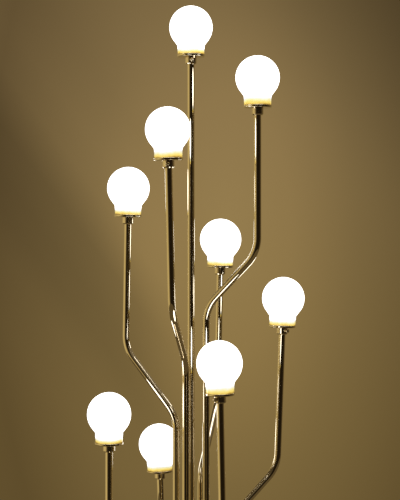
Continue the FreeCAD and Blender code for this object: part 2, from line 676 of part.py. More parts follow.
# ---------------------------------------------------------------- the whole lamp
def build_nodes():
    """Every named sub-part, as one shape or a compound of like solids."""
    shade = glass_shade()
    pan = gallery()
    nodes = {}
    for number, lamp in LAMPS.items():
        nodes["arm_tube_%d" % number] = arm_tube(lamp)
        nodes["lamp_collar_%d" % number] = on_head(lamp_collar(lamp.knob), lamp)
        nodes["gallery_%d" % number] = on_head(pan, lamp)
        nodes["glass_shade_%d" % number] = on_head(shade, lamp)
        nodes["switch_knob_%d" % number] = on_head(switch_knob(lamp.knob), lamp)
    in_each_head = {
        "threaded_nipples": threaded_nipple(),
        "lamp_sockets": lamp_socket(),
        "light_bulbs": light_bulb(),
        "shade_gaskets": shade_gasket(),
    }
    for name, piece in in_each_head.items():
        nodes[name] = Part.makeCompound([on_head(piece, lamp) for lamp in LAMPS.values()])
    nodes["inner_leads"] = Part.makeCompound([inner_lead(lamp) for lamp in LAMPS.values()])
    nodes["floor_pad"] = floor_pad()
    nodes["bottom_plate"] = bottom_plate()
    nodes["plate_screws"] = Part.makeCompound(plate_screws())
    nodes["terminal_board"] = terminal_board()
    nodes["ballast_disc"] = ballast_disc()
    nodes["base_cover"] = base_cover()
    nodes["cord_gland"] = cord_gland()
    nodes["trunk_hub"] = trunk_hub()
    nodes["hub_bolts"] = Part.makeCompound(hub_bolts())
    nodes["tube_set_screws"] = Part.makeCompound(tube_set_screws())
    return nodes


NODES = build_nodes()
os.makedirs("parts", exist_ok=True)
for name, shape in NODES.items():
    if not shape.isValid():
        print("not valid:", name)
    shape.exportStep(os.path.join("parts", name + ".step"))
print(len(NODES), "nodes,", sum(len(shape.Solids) for shape in NODES.values()), "solids")
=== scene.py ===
"""Looks of a tree floor lamp: nine polished brass arms with lit opal globes on a round base.

Metres throughout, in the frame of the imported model: +Z up, the lamp faces -Y, the origin is
under the base.
"""

import logging
import math
from dataclasses import dataclass
from enum import Enum
from typing import Dict, List, Sequence, Tuple

import bmesh
import bpy
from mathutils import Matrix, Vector


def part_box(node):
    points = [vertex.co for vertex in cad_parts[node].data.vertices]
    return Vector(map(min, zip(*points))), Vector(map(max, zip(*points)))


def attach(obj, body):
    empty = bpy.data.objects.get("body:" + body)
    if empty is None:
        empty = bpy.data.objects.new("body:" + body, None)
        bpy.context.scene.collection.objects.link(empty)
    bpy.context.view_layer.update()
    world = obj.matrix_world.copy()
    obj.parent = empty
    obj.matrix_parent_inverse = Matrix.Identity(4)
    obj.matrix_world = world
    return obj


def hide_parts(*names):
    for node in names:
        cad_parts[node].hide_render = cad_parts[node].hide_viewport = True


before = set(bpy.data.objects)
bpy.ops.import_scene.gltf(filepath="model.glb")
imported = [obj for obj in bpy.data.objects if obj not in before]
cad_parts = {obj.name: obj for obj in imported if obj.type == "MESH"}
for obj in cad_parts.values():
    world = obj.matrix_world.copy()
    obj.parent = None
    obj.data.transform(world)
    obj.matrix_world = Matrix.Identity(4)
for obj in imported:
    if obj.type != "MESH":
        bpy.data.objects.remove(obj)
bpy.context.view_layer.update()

LOG = logging.getLogger("tree_lamp")
MM = 0.001
ORIGIN = Vector((0.0, 0.0, 0.0))
UP = Vector((0.0, 0.0, 1.0))
Colour = Tuple[float, float, float]
Stops = Tuple[Tuple[float, Colour], ...]
Socket = bpy.types.NodeSocket
Outputs = bpy.types.NodeOutputs
Material = bpy.types.Material
Mesh = bpy.types.Object


# ------------------------------------------------------------------ node building
class Graph:
    """Short-hand for adding and joining nodes in one node tree."""

    MIX_COLOUR_INPUTS = (0, 6, 7)
    MIX_COLOUR_OUTPUT = 2

    def __init__(self, tree: bpy.types.NodeTree) -> None:
        """Keep the tree that nodes are added to.

        Args:
            tree: Node tree of a material, a world or a group.
        """
        self.tree = tree

    def add(self, kind: str, **settings: object) -> bpy.types.Node:
        """Add a node.

        Args:
            kind: Node type, such as "ShaderNodeMath".
            settings: Attributes to set on the node.

        Returns:
            The new node.
        """
        node = self.tree.nodes.new(kind)
        for name, value in settings.items():
            setattr(node, name, value)
        return node

    def feed(self, target: Socket, value: object) -> None:
        """Join a socket to another socket, or set its plain value.

        Args:
            target: Input socket.
            value: Output socket, number or tuple.
        """
        if isinstance(value, bpy.types.NodeSocket):
            self.tree.links.new(value, target)
        else:
            target.default_value = value

    def math(self, operation: str, *values: object, clamp: bool = False) -> Socket:
        """Scalar sum of a Math node.

        Args:
            operation: Name of the operation.
            values: One to three sockets or numbers.
            clamp: Whether the result is held between 0 and 1.

        Returns:
            The result socket.
        """
        node = self.add("ShaderNodeMath", operation=operation, use_clamp=clamp)
        for target, value in zip(node.inputs, values):
            self.feed(target, value)
        return node.outputs[0]

    def vector(self, operation: str, *values: object) -> bpy.types.Node:
        """Vector Math node with its inputs joined.

        Args:
            operation: Name of the operation.
            values: Sockets, vectors or, for SCALE, a vector and a number.

        Returns:
            The node, whose outputs are Vector and Value.
        """
        node = self.add("ShaderNodeVectorMath", operation=operation)
        second = node.inputs["Scale"] if operation == "SCALE" else node.inputs[1]
        for target, value in zip((node.inputs[0], second), values):
            self.feed(target, value)
        return node

    def noise(self, dimensions: str, place: object, scale: object, detail: float) -> Socket:
        """Noise value.

        Args:
            dimensions: "1D" or "3D".
            place: Position socket, a number in 1D and a vector in 3D.
            scale: Noise scale.
            detail: Number of octaves.

        Returns:
            The noise, about 0.5 on average.
        """
        node = self.add("ShaderNodeTexNoise", noise_dimensions=dimensions)
        self.feed(node.inputs["W" if dimensions == "1D" else "Vector"], place)
        self.feed(node.inputs["Scale"], scale)
        self.feed(node.inputs["Detail"], detail)
        return node.outputs[0]

    def remap(
        self, value: object, low: object, high: object, to_low: object, to_high: object
    ) -> Socket:
        """Smooth clamped change of range.

        Args:
            value: Input socket.
            low: Start of the input range.
            high: End of the input range.
            to_low: Result at low.
            to_high: Result at high.

        Returns:
            The result socket.
        """
        node = self.add("ShaderNodeMapRange", interpolation_type="SMOOTHSTEP")
        for target, item in zip(node.inputs, (value, low, high, to_low, to_high)):
            self.feed(target, item)
        return node.outputs[0]

    def mix(
        self, factor: object, first: object, second: object, blend: str = "MIX"
    ) -> Socket:
        """Colour mix.

        Args:
            factor: 0 for first, 1 for second.
            first: Colour socket or RGB colour.
            second: Colour socket or RGB colour.
            blend: Blend mode.

        Returns:
            The mixed colour socket.
        """
        node = self.add("ShaderNodeMix", data_type="RGBA", blend_type=blend, clamp_factor=True)
        targets = (node.inputs[place] for place in self.MIX_COLOUR_INPUTS)
        for target, value in zip(targets, (factor, first, second)):
            if isinstance(value, tuple):
                value = (*value, 1.0)
            self.feed(target, value)
        return node.outputs[self.MIX_COLOUR_OUTPUT]

    def ramp(self, factor: object, stops: Sequence[Tuple[float, Colour]]) -> Socket:
        """Colour ramp.

        Args:
            factor: Position along the ramp, 0 to 1.
            stops: Position and colour of each stop, in order.

        Returns:
            The colour socket.
        """
        node = self.add("ShaderNodeValToRGB")
        elements = node.color_ramp.elements
        while len(elements) < len(stops):
            elements.new(0.5)
        for element, (position, colour) in zip(elements, stops):
            element.position = position
            element.color = (*colour, 1.0)
        self.feed(node.inputs[0], factor)
        return node.outputs[0]

    def bump(self, height: Socket, distance: float, strength: float) -> Socket:
        """Normal from a height.

        Args:
            height: Height socket, 0 to 1.
            distance: Height in metres that 1 stands for.
            strength: How much of the bump shows.

        Returns:
            The normal socket.
        """
        node = self.add("ShaderNodeBump")
        node.inputs["Distance"].default_value = distance
        node.inputs["Strength"].default_value = strength
        self.feed(node.inputs["Height"], height)
        return node.outputs["Normal"]


class Effect(Enum):
    """Shader node groups that several finishes share."""

    PLACE = "lamp_place"
    RINGS = "turning_rings"
    HAZE = "polish_haze"
    BAND = "joint_band"
    GLOW = "opal_glow"
    DRAW = "draw_lines"
    GRAIN = "surface_grain"


class EffectLibrary:
    """Builds each shared node group once and puts copies of it into materials."""

    RING_DETAIL = 2.0
    PATCH_DETAIL = 3.0
    FINE_PATCH_SCALE = 9.0
    FINE_PATCH_DETAIL = 5.0
    PATCH_RANGE = (0.2, 0.42)
    LINE_DETAIL = 3.0
    GRAIN_DETAIL = 6.0
    GRAIN_RANGE = (0.35, 0.65)
    CLOUD_SCALE = 32.0
    CLOUD_DETAIL = 2.0
    CLOUD_RANGE = (0.3, 0.7)
    CLOUD_SHIFT = 0.1
    NECK_COLOURS = (
        (0.0, (0.42, 0.25, 0.045)),
        (0.07, (0.70, 0.46, 0.085)),
        (0.15, (0.92, 0.68, 0.14)),
        (0.25, (0.98, 0.77, 0.21)),
        (0.35, (0.99, 0.84, 0.31)),
        (0.45, (0.99, 0.92, 0.50)),
        (0.55, (0.99, 0.97, 0.76)),
        (0.66, (1.0, 0.99, 0.95)),
    )
    NECK_LIGHT = 0.225
    # The share below dims the neck's glow colours into the glass's own colour, as painted amber
    # glow and painted shade at the neck.
    NECK_GLOW_PAINT_SHARE = 0.55
    GLOBE_LIGHT = (1.0, 0.98, 0.94)
    GLOBE_GLASS = (0.86, 0.84, 0.80)

    FLOATS = {
        Effect.PLACE: (),
        Effect.RINGS: ("Height", "Radius", "Pitch"),
        Effect.HAZE: ("Clear", "Smudged", "Scale"),
        Effect.BAND: ("Height", "Level", "Width"),
        Effect.GLOW: ("Height", "Fade"),
        Effect.DRAW: ("Across", "Along"),
        Effect.GRAIN: ("Scale",),
    }
    OUTPUTS = {
        Effect.PLACE: (("Height", "NodeSocketFloat"), ("Radius", "NodeSocketFloat")),
        Effect.RINGS: (("Rings", "NodeSocketFloat"),),
        Effect.HAZE: (("Roughness", "NodeSocketFloat"), ("Patches", "NodeSocketFloat")),
        Effect.BAND: (("Mask", "NodeSocketFloat"),),
        Effect.GLOW: (("Light", "NodeSocketColor"), ("GlassAndPaintedGlow", "NodeSocketColor")),
        Effect.DRAW: (("Lines", "NodeSocketFloat"),),
        Effect.GRAIN: (("Grain", "NodeSocketFloat"), ("Mottle", "NodeSocketFloat")),
    }

    def __init__(self) -> None:
        """Start with no group built."""
        self.built: Dict[Effect, bpy.types.NodeTree] = {}

    def group(self, effect: Effect) -> bpy.types.NodeTree:
        """The effect's node group, built on first use.

        Args:
            effect: Which effect.

        Returns:
            The shader node group.
        """
        if effect not in self.built:
            tree = bpy.data.node_groups.new(effect.value, "ShaderNodeTree")
            if effect is Effect.PLACE:
                for name in ("Centre", "Axis"):
                    tree.interface.new_socket(name, in_out="INPUT", socket_type="NodeSocketVector")
            for name in self.FLOATS[effect]:
                tree.interface.new_socket(name, in_out="INPUT", socket_type="NodeSocketFloat")
            for name, kind in self.OUTPUTS[effect]:
                tree.interface.new_socket(name, in_out="OUTPUT", socket_type=kind)
            graph = Graph(tree)
            inputs = graph.add("NodeGroupInput").outputs
            results = getattr(self, "_" + effect.value)(graph, inputs)
            ends = graph.add("NodeGroupOutput").inputs
            for name, socket in results.items():
                graph.feed(ends[name], socket)
            self.built[effect] = tree
        return self.built[effect]

    def place_in(self, graph: Graph, effect: Effect, **values: object) -> Outputs:
        """Put the effect into a material.

        Args:
            graph: The material's graph.
            effect: Which effect.
            values: Value or socket for each named input.

        Returns:
            The group node's outputs.
        """
        node = graph.add("ShaderNodeGroup", node_tree=self.group(effect))
        for name, value in values.items():
            graph.feed(node.inputs[name], value)
        return node.outputs

    @staticmethod
    def _lamp_place(graph: Graph, inputs: Outputs) -> Dict[str, Socket]:
        """Height along a lamp's axis from its globe's centre, and radius from that axis.

        Args:
            graph: The group's graph.
            inputs: Centre and Axis.

        Returns:
            Height and Radius.
        """
        point = graph.add("ShaderNodeTexCoord").outputs["Object"]
        offset = graph.vector("SUBTRACT", point, inputs["Centre"]).outputs["Vector"]
        height = graph.vector("DOT_PRODUCT", offset, inputs["Axis"]).outputs["Value"]
        along = graph.vector("SCALE", inputs["Axis"], height).outputs["Vector"]
        aside = graph.vector("SUBTRACT", offset, along).outputs["Vector"]
        return {"Height": height, "Radius": graph.vector("LENGTH", aside).outputs["Value"]}

    def _turning_rings(self, graph: Graph, inputs: Outputs) -> Dict[str, Socket]:
        """Fine uneven rings that a lathe leaves on turned and spun metal.

        Args:
            graph: The group's graph.
            inputs: Height, Radius and Pitch.

        Returns:
            Rings, 0 to 1.
        """
        pitch = inputs["Pitch"]
        rings = [
            graph.noise("1D", graph.math("DIVIDE", inputs[name], pitch), 1.0, self.RING_DETAIL)
            for name in ("Height", "Radius")
        ]
        return {"Rings": graph.math("MULTIPLY", graph.math("ADD", *rings), 0.5)}

    def _polish_haze(self, graph: Graph, inputs: Outputs) -> Dict[str, Socket]:
        """Cloudy patches where handling has dulled the polish.

        Args:
            graph: The group's graph.
            inputs: Clear and Smudged roughness, and the Scale of the patches.

        Returns:
            Roughness and Patches.
        """
        point = graph.add("ShaderNodeTexCoord").outputs["Object"]
        broad = graph.noise("3D", point, inputs["Scale"], self.PATCH_DETAIL)
        fine_scale = graph.math("MULTIPLY", inputs["Scale"], self.FINE_PATCH_SCALE)
        fine = graph.noise("3D", point, fine_scale, self.FINE_PATCH_DETAIL)
        patches = graph.remap(graph.math("MULTIPLY", broad, fine), *self.PATCH_RANGE, 0.0, 1.0)
        spread = graph.math("SUBTRACT", inputs["Smudged"], inputs["Clear"])
        roughness = graph.math("MULTIPLY_ADD", patches, spread, inputs["Clear"])
        return {"Roughness": roughness, "Patches": patches}

    @staticmethod
    def _joint_band(graph: Graph, inputs: Outputs) -> Dict[str, Socket]:
        """Soft band round one height, for a joint's dark line.

        Args:
            graph: The group's graph.
            inputs: Height, Level and Width.

        Returns:
            Mask, 1 at the level.
        """
        away = graph.math("ABSOLUTE", graph.math("SUBTRACT", inputs["Height"], inputs["Level"]))
        return {"Mask": graph.remap(away, 0.0, inputs["Width"], 1.0, 0.0)}

    def _opal_glow(self, graph: Graph, inputs: Outputs) -> Dict[str, Socket]:
        """Opal glass over a bulb: white, falling through yellow to amber above the neck's pan.

        Args:
            graph: The group's graph.
            inputs: Height above the pan's rim and the Fade height.

        Returns:
            Light that comes through the glass, as a share of its strength, and the glass's colour,
            with a dimmed copy of the neck's glow painted into it.
        """
        point = graph.add("ShaderNodeTexCoord").outputs["Object"]
        cloud = graph.noise("3D", point, self.CLOUD_SCALE, self.CLOUD_DETAIL)
        shift = graph.remap(cloud, *self.CLOUD_RANGE, -self.CLOUD_SHIFT, self.CLOUD_SHIFT)
        level = graph.math("ADD", graph.math("DIVIDE", inputs["Height"], inputs["Fade"]), shift)

        def shares(share: float, globe: Colour) -> List[Tuple[float, Colour]]:
            """Neck's colours at a share of their strength, and the globe's above them."""
            neck = self.NECK_COLOURS
            stops = [(at, tuple(share * part for part in colour)) for at, colour in neck]
            return stops + [(1.0, globe)]

        light = shares(self.NECK_LIGHT, self.GLOBE_LIGHT)
        # The glass's colour follows the same ramp at a lower share: painted glow and painted shade
        # at the neck.
        glass = shares(self.NECK_GLOW_PAINT_SHARE, self.GLOBE_GLASS)
        return {"Light": graph.ramp(level, light), "GlassAndPaintedGlow": graph.ramp(level, glass)}

    def _draw_lines(self, graph: Graph, inputs: Outputs) -> Dict[str, Socket]:
        """Faint lines that run lengthwise on drawn tube.

        Args:
            graph: The group's graph.
            inputs: Across and Along, the noise's scales in the two directions.

        Returns:
            Lines, 0 to 1.
        """
        point = graph.add("ShaderNodeTexCoord").outputs["Object"]
        scale = graph.add("ShaderNodeCombineXYZ")
        for target, name in zip(scale.inputs, ("Across", "Across", "Along")):
            graph.feed(target, inputs[name])
        stretched = graph.vector("MULTIPLY", point, scale.outputs[0]).outputs["Vector"]
        return {"Lines": graph.noise("3D", stretched, 1.0, self.LINE_DETAIL)}

    def _surface_grain(self, graph: Graph, inputs: Outputs) -> Dict[str, Socket]:
        """Grain of cast, moulded, plated or felted stuff, and the mottling that goes with it.

        Args:
            graph: The group's graph.
            inputs: Scale of the grain.

        Returns:
            Grain and Mottle, both 0 to 1.
        """
        point = graph.add("ShaderNodeTexCoord").outputs["Object"]
        grain = graph.noise("3D", point, inputs["Scale"], self.GRAIN_DETAIL)
        return {"Grain": grain, "Mottle": graph.remap(grain, *self.GRAIN_RANGE, 0.0, 1.0)}


EFFECTS = EffectLibrary()


# ------------------------------------------------------------------ the lamp's plan
@dataclass(frozen=True)
class LampPlan:
    """Where one lamp stands, how its tube is bent and how high its glass is amber.

    height is the globe's centre over the floor, root the bearing of the tube's foot on the ring,
    bend, reach and slope the bearing, throw and angle from upright of its S-bend, drop the
    length from the globe's centre down to the upper bend's corner, lean the upper run's tilt to
    the right, and amber the height of the neck's amber. Angles are in degrees, lengths in metres.
    """

    number: int
    height: float
    root: float
    bend: float
    reach: float
    drop: float
    slope: float
    lean: float
    amber: float
    ring_radius: float = 36.0 * MM

    @staticmethod
    def bearing(degrees: float) -> Vector:
        """Horizontal unit vector at a bearing from +X."""
        angle = math.radians(degrees)
        return Vector((math.cos(angle), math.sin(angle), 0.0))

    @property
    def foot(self) -> Vector:
        """Centre of the tube's foot, at floor level."""
        return self.bearing(self.root) * (self.ring_radius if self.reach else 0.0)

    @property
    def axis(self) -> Vector:
        """Direction of the tube's upper run."""
        lean = math.radians(self.lean)
        return Vector((math.sin(lean), 0.0, math.cos(lean)))

    @property
    def globe(self) -> Vector:
        """Centre of the globe."""
        above = self.drop if self.reach else 0.0
        tilt = Vector((above * math.tan(math.radians(self.lean)), 0.0, self.height))
        return self.foot + self.bearing(self.bend) * self.reach + tilt

    def corners(self, bottom: float, top: float) -> List[Vector]:
        """Corner points of the tube's centreline.

        Args:
            bottom: Height of its lower end.
            top: Its upper end, along the axis from the globe's centre.

        Returns:
            Two points for the straight tube, four for a bent one.
        """
        start = self.foot + Vector((0.0, 0.0, bottom))
        end = self.globe + self.axis * top
        if not self.reach:
            return [start, end]
        upper = self.height - self.drop
        lower = upper - self.reach / math.tan(math.radians(self.slope))
        out = self.foot + self.bearing(self.bend) * self.reach
        return [start, Vector((*self.foot.xy, lower)), Vector((*out.xy, upper)), end]


PLANS = [
    LampPlan(1, 1702.5 * MM, 0.0, 0.0, 0.0, 0.0, 0.0, 0.0, 14.0 * MM),
    LampPlan(2, 1585.0 * MM, -22.5, -25.1, 122.0 * MM, 376.0 * MM, 45.0, 0.0, 21.0 * MM),
    LampPlan(3, 1467.5 * MM, -108.0, -103.8, 118.0 * MM, 381.0 * MM, 45.0, -1.2, 19.0 * MM),
    LampPlan(4, 1351.0 * MM, 154.0, 158.0, 123.0 * MM, 360.0 * MM, 40.0, 0.85, 15.0 * MM),
    LampPlan(5, 1235.0 * MM, 52.5, 71.8, 122.0 * MM, 374.0 * MM, 40.0, 1.15, 14.0 * MM),
    LampPlan(6, 1103.5 * MM, 22.5, 17.0, 168.0 * MM, 379.0 * MM, 45.0, 2.0, 15.0 * MM),
    LampPlan(7, 983.5 * MM, -67.5, -71.3, 166.0 * MM, 371.0 * MM, 45.0, -1.1, 19.0 * MM),
    LampPlan(8, 858.5 * MM, 202.5, 193.0, 148.0 * MM, 371.0 * MM, 45.0, 0.1, 12.0 * MM),
    LampPlan(9, 754.0 * MM, 112.5, 107.8, 166.0 * MM, 371.0 * MM, 45.0, -1.75, 15.0 * MM),
]


# ------------------------------------------------------------------ finishes
def new_material(name: str) -> Tuple[Material, Graph, bpy.types.Node]:
    """Material with one Principled shader.

    Args:
        name: Material name.

    Returns:
        The material, its graph and the shader node.
    """
    material = bpy.data.materials.new(name)
    material.use_nodes = True
    shader = material.node_tree.nodes["Principled BSDF"]
    return material, Graph(material.node_tree), shader


class Working(Enum):
    """How a brass piece was made, which sets the direction of its fine lines."""

    DRAWN = "drawn"
    TURNED = "turned"
    SPUN = "spun"


@dataclass(frozen=True)
class BrassFinish:
    """Polished, clear-lacquered brass with handling haze and the lines of its making."""

    working: Working
    clear_roughness: float
    smudged_roughness: float
    haze_scale: float
    dulling: float
    line_depth: float
    ring_pitch: float = 0.35 * MM
    colour: Colour = (0.90, 0.81, 0.63)
    tarnish: Colour = (0.46, 0.34, 0.17)
    line_strength: float = 0.6
    draw_across: float = 1400.0
    draw_along: float = 9.0
    seam_width: float = 0.55 * MM
    seam_darkness: float = 0.75
    coat: float = 0.25
    coat_roughness: float = 0.04

    def material(
        self, name: str, centre: Vector = ORIGIN, axis: Vector = UP, joints: Sequence[float] = ()
    ) -> Material:
        """Brass material for one piece.

        Args:
            name: Material name.
            centre: Point on a turned or spun piece's axis that heights count from.
            axis: Direction of that axis.
            joints: Heights of the seams that hold a dark line.

        Returns:
            The material.
        """
        material, graph, shader = new_material(name)
        haze = EFFECTS.place_in(
            graph,
            Effect.HAZE,
            Clear=self.clear_roughness,
            Smudged=self.smudged_roughness,
            Scale=self.haze_scale,
        )
        dulled = graph.math("MULTIPLY", haze["Patches"], self.dulling)
        colour = graph.mix(dulled, self.colour, self.tarnish)
        if self.working is Working.DRAWN:
            lines = EFFECTS.place_in(
                graph, Effect.DRAW, Across=self.draw_across, Along=self.draw_along
            )["Lines"]
        else:
            height, radius = EFFECTS.place_in(
                graph, Effect.PLACE, Centre=tuple(centre), Axis=tuple(axis)
            )
            lines = EFFECTS.place_in(
                graph, Effect.RINGS, Height=height, Radius=radius, Pitch=self.ring_pitch
            )["Rings"]
            for level in joints:
                band = EFFECTS.place_in(
                    graph, Effect.BAND, Height=height, Level=level, Width=self.seam_width
                )
                seam = graph.math("MULTIPLY", band["Mask"], self.seam_darkness)
                colour = graph.mix(seam, colour, self.tarnish)
        graph.feed(shader.inputs["Base Color"], colour)
        graph.feed(shader.inputs["Roughness"], haze["Roughness"])
        graph.feed(shader.inputs["Normal"], graph.bump(lines, self.line_depth, self.line_strength))
        shader.inputs["Metallic"].default_value = 1.0
        shader.inputs["Coat Weight"].default_value = self.coat
        shader.inputs["Coat Roughness"].default_value = self.coat_roughness
        return material


@dataclass(frozen=True)
class OpalFinish:
    """Opal glass lit from within."""

    rim_level: float
    fade: float
    strength: float = 2.6
    roughness: float = 0.22
    coat: float = 0.4
    coat_roughness: float = 0.05

    def material(self, name: str, centre: Vector, axis: Vector) -> Material:
        """Lit glass for one shade.

        Args:
            name: Material name.
            centre: Centre of the globe.
            axis: Direction of the lamp's axis.

        Returns:
            The material.
        """
        material, graph, shader = new_material(name)
        height = EFFECTS.place_in(
            graph, Effect.PLACE, Centre=tuple(centre), Axis=tuple(axis)
        )["Height"]
        above = graph.math("SUBTRACT", height, self.rim_level)
        glow = EFFECTS.place_in(graph, Effect.GLOW, Height=above, Fade=self.fade)
        graph.feed(shader.inputs["Emission Color"], glow["Light"])
        # Base colour carries the neck's glow: painted amber glow and painted shade in the glass's
        # own colour.
        graph.feed(shader.inputs["Base Color"], glow["GlassAndPaintedGlow"])
        shader.inputs["Emission Strength"].default_value = self.strength
        shader.inputs["Roughness"].default_value = self.roughness
        shader.inputs["Coat Weight"].default_value = self.coat
        shader.inputs["Coat Roughness"].default_value = self.coat_roughness
        return material


@dataclass(frozen=True)
class PlainFinish:
    """Plastic, steel, iron, felt or rubber with a grain of its own."""

    name: str
    colour: Colour
    shade: Colour
    roughness: float
    grain_scale: float
    grain_depth: float
    metallic: float = 0.0
    sheen: float = 0.0
    emission: float = 0.0
    wear: float = 0.15
    wear_scale: float = 0.1
    grain_strength: float = 0.7

    def material(self) -> Material:
        """Material with a mottled colour, uneven roughness and a grain bump.

        Returns:
            The material.
        """
        material, graph, shader = new_material(self.name)
        haze = EFFECTS.place_in(
            graph,
            Effect.HAZE,
            Clear=self.roughness,
            Smudged=min(1.0, self.roughness + self.wear),
            Scale=self.grain_scale * self.wear_scale,
        )
        grain = EFFECTS.place_in(graph, Effect.GRAIN, Scale=self.grain_scale)
        colour = graph.mix(grain["Mottle"], self.colour, self.shade)
        graph.feed(shader.inputs["Base Color"], colour)
        graph.feed(shader.inputs["Roughness"], haze["Roughness"])
        normal = graph.bump(grain["Grain"], self.grain_depth, self.grain_strength)
        graph.feed(shader.inputs["Normal"], normal)
        shader.inputs["Metallic"].default_value = self.metallic
        shader.inputs["Sheen Weight"].default_value = self.sheen
        if self.emission:
            shader.inputs["Emission Color"].default_value = (*self.colour, 1.0)
            shader.inputs["Emission Strength"].default_value = self.emission
        return material


HOLDER = PlainFinish(
    "holder_plastic", (0.78, 0.77, 0.72), (0.70, 0.69, 0.64), 0.3, 900.0, 0.02 * MM
)
BULB = PlainFinish(
    "bulb_glass", (1.0, 0.9, 0.68), (1.0, 0.86, 0.6), 0.35, 300.0, 0.01 * MM, emission=1.5
)
STEEL = PlainFinish(
    "plated_steel", (0.62, 0.62, 0.60), (0.50, 0.50, 0.49), 0.28, 1400.0, 0.01 * MM, metallic=1.0
)
IRON = PlainFinish("cast_iron", (0.035, 0.036, 0.04), (0.055, 0.05, 0.048), 0.6, 420.0, 0.2 * MM)
FELT = PlainFinish(
    "wool_felt", (0.025, 0.022, 0.02), (0.06, 0.055, 0.05), 0.95, 2600.0, 0.3 * MM, sheen=0.5
)
SILICONE = PlainFinish("silicone", (0.62, 0.6, 0.55), (0.52, 0.5, 0.46), 0.5, 700.0, 0.03 * MM)
SLEEVE = PlainFinish("lead_sleeve", (0.72, 0.70, 0.64), (0.58, 0.56, 0.5), 0.55, 1800.0, 0.05 * MM)
BOARD = PlainFinish(
    "board_moulding", (0.05, 0.05, 0.055), (0.08, 0.08, 0.082), 0.5, 800.0, 0.03 * MM
)
NYLON = PlainFinish(
    "black_nylon", (0.022, 0.022, 0.023), (0.04, 0.04, 0.041), 0.42, 1500.0, 0.03 * MM
)

DRAWN_BRASS = BrassFinish(
    Working.DRAWN,
    clear_roughness=0.02,
    smudged_roughness=0.03,
    haze_scale=4.0,
    dulling=0.1,
    line_depth=0.001 * MM,
)
TURNED_BRASS = BrassFinish(
    Working.TURNED,
    clear_roughness=0.045,
    smudged_roughness=0.08,
    haze_scale=8.0,
    dulling=0.12,
    line_depth=0.0008 * MM,
)
SPUN_BRASS = BrassFinish(
    Working.SPUN,
    clear_roughness=0.055,
    smudged_roughness=0.1,
    haze_scale=6.0,
    dulling=0.12,
    line_depth=0.0008 * MM,
)
COVER_BRASS = BrassFinish(
    Working.SPUN,
    clear_roughness=0.07,
    smudged_roughness=0.15,
    haze_scale=3.0,
    dulling=0.14,
    ring_pitch=0.9 * MM,
    line_depth=0.004 * MM,
)


def dress(piece: Mesh, material: Material) -> Mesh:
    """Give a piece one material in place of any it has.

    Args:
        piece: The mesh object.
        material: Its material.

    Returns:
        The same piece.
    """
    piece.data.materials.clear()
    piece.data.materials.append(material)
    return piece


# ------------------------------------------------------------------ sub-assemblies
@dataclass
class ArmTube:
    """One smooth arm tube in place of the coarse one of the frame."""

    plan: LampPlan
    bottom: float
    top: float
    radius: float = 8.0 * MM
    wall: float = 1.2 * MM
    bend_radius: float = 80.0 * MM
    sides: int = 72
    arc_steps: int = 40
    run_step: float = 60.0 * MM

    def centreline(self) -> Tuple[List[Vector], List[Vector]]:
        """Points of the centreline and the direction at each.

        Returns:
            Points and unit directions.
        """
        corners = self.plan.corners(self.bottom, self.top)
        points: List[Vector] = []
        ways: List[Vector] = []

        def straight(start: Vector, end: Vector) -> None:
            """Add evenly spaced points from start to end."""
            count = max(1, round((end - start).length / self.run_step))
            way = (end - start).normalized()
            for step in range(count + 1):
                points.append(start.lerp(end, step / count))
                ways.append(way)

        here = corners[0]
        for before, corner, after in zip(corners, corners[1:], corners[2:]):
            way_in = (corner - before).normalized()
            way_out = (after - corner).normalized()
            turn = way_in.angle(way_out)
            reach = self.bend_radius * math.tan(turn / 2.0)
            start = corner - way_in * reach
            straight(here, start)
            side = (way_out - way_in * way_in.dot(way_out)).normalized()
            for step in range(1, self.arc_steps):
                angle = turn * step / self.arc_steps
                along = way_in * math.sin(angle) + side * (1.0 - math.cos(angle))
                points.append(start + along * self.bend_radius)
                ways.append(way_in * math.cos(angle) + side * math.sin(angle))
            here = corner + way_out * reach
        straight(here, corners[-1])
        return points, ways

    def skins(self, mesh: bmesh.types.BMesh) -> List[List[List[bmesh.types.BMVert]]]:
        """Rings of points round the centreline.

        Args:
            mesh: Mesh that the points are added to.

        Returns:
            The outer skin's rings and the inner skin's.
        """
        skins: List[List[List[bmesh.types.BMVert]]] = [[], []]
        across = Vector((1.0, 0.0, 0.0))
        for point, way in zip(*self.centreline()):
            across = (across - way * across.dot(way)).normalized()
            other = way.cross(across)
            for skin, radius in zip(skins, (self.radius, self.radius - self.wall)):
                ring = []
                for side in range(self.sides):
                    angle = 2.0 * math.pi * side / self.sides
                    offset = across * math.cos(angle) + other * math.sin(angle)
                    ring.append(mesh.verts.new(point + offset * radius))
                skin.append(ring)
        return skins

    def hollow_mesh(self) -> bpy.types.Mesh:
        """Mesh of the hollow tube: smooth skins, ends closed by flat rings with sharp edges.

        Returns:
            The mesh.
        """
        mesh = bmesh.new()
        outer, inner = self.skins(mesh)
        first, last = (outer[0], inner[0]), (outer[-1], inner[-1])
        for index in range(self.sides):
            after = (index + 1) % self.sides
            for low, high in zip(outer, outer[1:]):
                mesh.faces.new((low[index], low[after], high[after], high[index]))
            for low, high in zip(inner, inner[1:]):
                mesh.faces.new((low[index], high[index], high[after], low[after]))
            for near, far in (first, last[::-1]):
                mesh.faces.new((near[index], far[index], far[after], near[after]))
        for ring in first + last:
            for index, vertex in enumerate(ring):
                mesh.edges.get((vertex, ring[index - 1])).smooth = False
        data = bpy.data.meshes.new(f"drawn_tube_{self.plan.number}")
        mesh.to_mesh(data)
        mesh.free()
        for polygon in data.polygons:
            polygon.use_smooth = True
        return data

    def build(self) -> Mesh:
        """Hollow tube along the centreline.

        Returns:
            The tube, riding on the root body in place of its node.
        """
        data = self.hollow_mesh()
        tube = bpy.data.objects.new(data.name, data)
        bpy.context.scene.collection.objects.link(tube)
        node = f"arm_tube_{self.plan.number}"
        dress(tube, DRAWN_BRASS.material(f"drawn_brass_{self.plan.number}"))
        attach(tube, "root")
        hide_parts(node)
        LOG.info("%s: %d faces", tube.name, len(data.polygons))
        return tube


